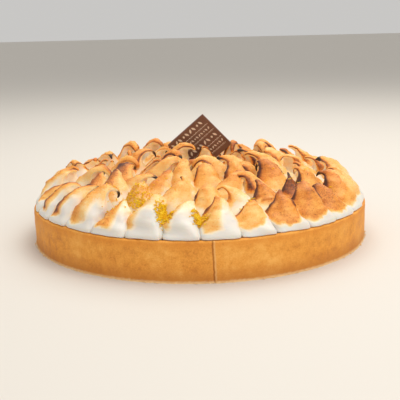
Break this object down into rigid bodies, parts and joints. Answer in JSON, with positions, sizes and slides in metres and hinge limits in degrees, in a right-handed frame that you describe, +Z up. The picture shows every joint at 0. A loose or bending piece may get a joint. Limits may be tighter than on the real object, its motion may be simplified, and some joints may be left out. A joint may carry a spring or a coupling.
{
  "type": "lemon meringue tart",
  "caption": "Round lemon tart: straight shortcrust case, lemon filling, rings of torched meringue peaks with lemon zest, and a square chocolate plaque standing on one corner.",
  "frame": {"origin": "centre of the underside of the pastry case", "axes": "+Z up, -Y the front that carries the pastry seam and that the plaque faces, +X to the right seen from the front"},
  "size_m": [0.2512, 0.2512, 0.083],
  "materials": {
    "crust": "baked shortcrust, dry and finely grained, darker under the rim",
    "lemon_filling": "smooth set lemon cream",
    "meringue": "satin white meringue, torched gold to dark brown at its peaks",
    "chocolate": "satin chocolate with a cream printed pattern on its front"
  },
  "bodies": {
    "root": {"crust": "crust", "lemon_filling": "lemon_filling", "meringue": "meringue", "chocolate_plaque": "chocolate"}
  },
  "joints": []
}
